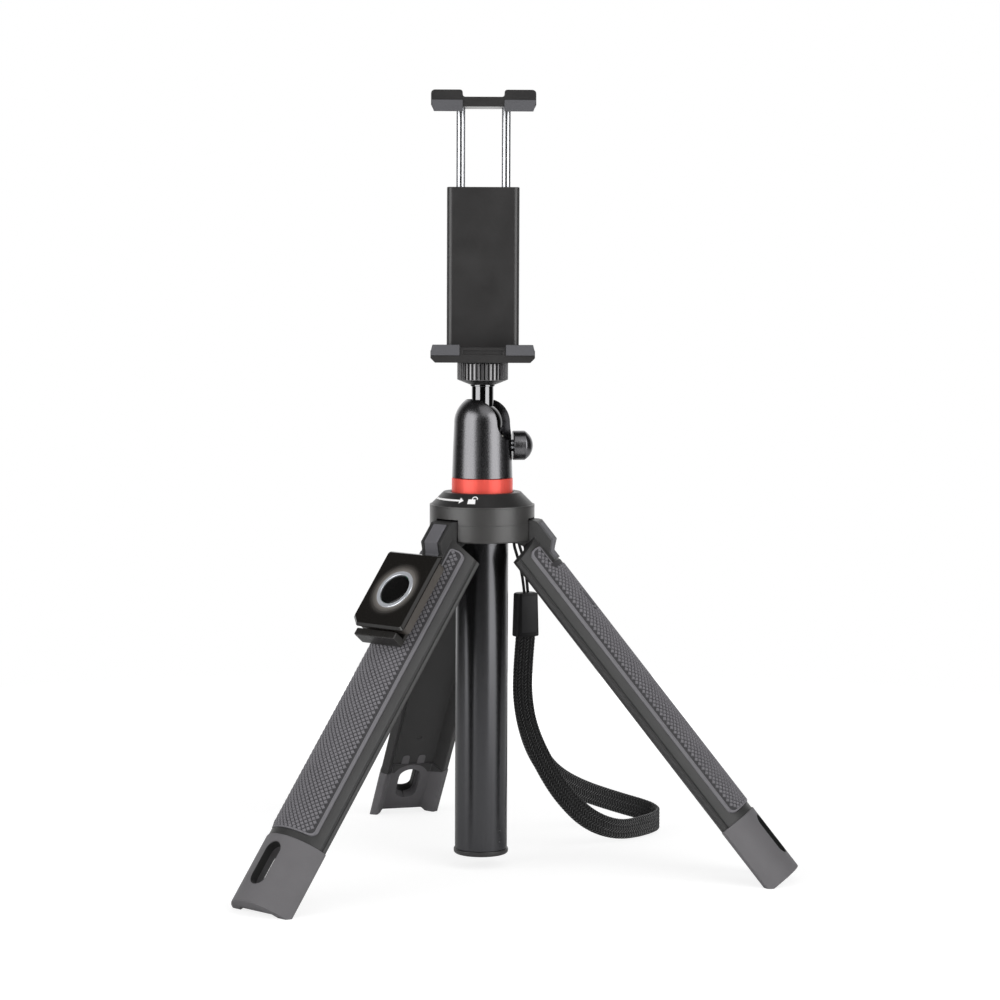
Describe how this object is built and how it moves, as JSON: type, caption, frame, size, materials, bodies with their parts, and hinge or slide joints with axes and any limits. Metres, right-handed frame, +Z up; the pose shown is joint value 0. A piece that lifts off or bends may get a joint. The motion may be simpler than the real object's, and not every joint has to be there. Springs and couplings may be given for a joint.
{
  "type": "telescoping phone tripod",
  "caption": "Tabletop phone tripod with folding legs, telescoping column, ball head, sprung phone clamp, docked remote and wrist strap.",
  "frame": {"origin": "on the ground plane under the column's axis, legs spread", "axes": "+Z up along the column, -Y towards the front of the phone clamp, +X to its right seen from the front"},
  "size_m": [0.1827, 0.1853, 0.2583],
  "materials": {
    "black_anodised": "black anodised, satin",
    "black_gloss": "glossy black",
    "hub_plastic": "fine satin, dark grey",
    "leg_plastic": "fine satin, dark grey",
    "pad_rubber": "textured grey rubber",
    "boot_rubber": "matte grey rubber",
    "insert_rubber": "matte grey rubber",
    "jaw_plastic": "satin black",
    "jaw_rubber": "matte grey rubber",
    "coral": "coral red anodised, satin",
    "steel": "bright turned steel",
    "stem_chrome": "polished black chrome",
    "nylon": "natural nylon",
    "remote_gloss": "glossy black",
    "remote_side": "satin grey-brown",
    "bezel_silver": "bright silver",
    "circuit": "green board",
    "strap_weave": "black herringbone weave",
    "strap_leather": "black, smooth"
  },
  "bodies": {
    "root": {"hub": "hub_plastic", "hinge_pins": "steel", "outer_tube": "black_anodised", "end_cap": "jaw_plastic", "lock_collet": "nylon", "strap_eyelet": "steel", "strap_cord": "strap_weave", "strap_tab": "strap_leather", "wrist_strap": "strap_weave"},
    "lock_ring": {"lock_ring": "hub_plastic"},
    "section_1": {"tube_section_1": "black_anodised", "slide_shim_1": "nylon"},
    "section_2": {"tube_section_2": "black_anodised", "slide_shim_2": "nylon"},
    "section_3": {"tube_section_3": "black_anodised", "slide_shim_3": "nylon"},
    "section_4": {"tube_section_4": "black_anodised", "slide_shim_4": "nylon"},
    "head": {"tube_section_5": "black_anodised", "slide_shim_5": "nylon", "stud_plug": "steel", "head_stud": "steel", "base_ring": "coral", "head_housing": "black_anodised", "ball_seat": "nylon"},
    "lock_knob": {"lock_knob": "black_anodised", "knob_screw": "steel"},
    "ball": {"ball_stem": "stem_chrome"},
    "knurled_ring": {"knurled_ring": "black_anodised"},
    "clamp": {"clamp_base": "jaw_plastic", "lower_pads": "jaw_rubber", "clamp_spine": "jaw_plastic", "clamp_springs": "steel"},
    "upper_jaw": {"upper_jaw": "jaw_plastic", "upper_pads": "jaw_rubber", "guide_rods": "steel"},
    "leg_a": {"leg_shell_a": "leg_plastic", "grip_pad_a": "pad_rubber", "lug_insert_a": "insert_rubber", "boot_a": "boot_rubber", "remote_cradle": "jaw_plastic"},
    "leg_b": {"leg_shell_b": "leg_plastic", "grip_pad_b": "pad_rubber", "lug_insert_b": "insert_rubber", "boot_b": "boot_rubber"},
    "leg_c": {"leg_shell_c": "leg_plastic", "grip_pad_c": "pad_rubber", "lug_insert_c": "insert_rubber", "boot_c": "boot_rubber"},
    "remote": {"remote_case": "remote_side", "remote_board": "circuit", "remote_battery": "steel", "remote_face": "remote_gloss", "remote_bezel": "bezel_silver"},
    "remote_button": {"remote_button": "remote_gloss"}
  },
  "joints": [
    {"name": "leg_a_fold", "type": "hinge", "parent": "root", "child": "leg_a", "pos_m": [-0.00891, -0.00947, 0.114], "axis": [0.7285, -0.6851, 0], "range_deg": [0, 39]},
    {"name": "leg_b_fold", "type": "hinge", "parent": "root", "child": "leg_b", "pos_m": [0.01265, -0.00298, 0.114], "axis": [0.229, 0.9734, 0], "range_deg": [0, 39]},
    {"name": "leg_c_fold", "type": "hinge", "parent": "root", "child": "leg_c", "pos_m": [-0.00375, 0.01245, 0.114], "axis": [-0.9575, -0.2884, 0], "range_deg": [0, 39]},
    {"name": "twist_lock", "type": "hinge", "parent": "root", "child": "lock_ring", "pos_m": [0, 0, 0.124], "axis": [0, 0, 1], "range_deg": [0, 45]},
    {"name": "section_1_slide", "type": "slide", "parent": "root", "child": "section_1", "axis": [0, 0, 1], "range_m": [0, 0.092]},
    {"name": "section_2_slide", "type": "slide", "parent": "section_1", "child": "section_2", "axis": [0, 0, 1], "range_m": [0, 0.092]},
    {"name": "section_3_slide", "type": "slide", "parent": "section_2", "child": "section_3", "axis": [0, 0, 1], "range_m": [0, 0.092]},
    {"name": "section_4_slide", "type": "slide", "parent": "section_3", "child": "section_4", "axis": [0, 0, 1], "range_m": [0, 0.092]},
    {"name": "section_5_slide", "type": "slide", "parent": "section_4", "child": "head", "axis": [0, 0, 1], "range_m": [0, 0.092]},
    {"name": "knob_turn", "type": "hinge", "parent": "head", "child": "lock_knob", "pos_m": [0.01002, 0.00123, 0.1416], "axis": [0.9925, 0.1219, 0], "range_deg": [0, 270]},
    {"name": "ball_tilt", "type": "hinge", "parent": "head", "child": "ball", "pos_m": [0, 0, 0.149], "axis": [0.3907, 0.9205, 0], "range_deg": [-11, 82]},
    {"name": "locking_ring_turn", "type": "hinge", "parent": "ball", "child": "knurled_ring", "pos_m": [0, 0, 0.1655], "axis": [0, 0, 1], "continuous": true},
    {"name": "clamp_swivel", "type": "hinge", "parent": "ball", "child": "clamp", "pos_m": [0, 0, 0.1715], "axis": [0, 0, 1], "continuous": true},
    {"name": "jaw_slide", "type": "slide", "parent": "clamp", "child": "upper_jaw", "axis": [0, 0, 1], "range_m": [-0.022, 0.013], "deforming": ["clamp_springs"]},
    {"name": "remote_lift_off", "type": "slide", "parent": "leg_a", "child": "remote", "axis": [-0.5324, -0.5661, 0.6293], "range_m": [0, 0.03]},
    {"name": "button_press", "type": "slide", "parent": "remote", "child": "remote_button", "axis": [0.5324, 0.5661, -0.6293], "range_m": [0, 0.0006], "stiffness_N_per_m": 300}
  ]
}
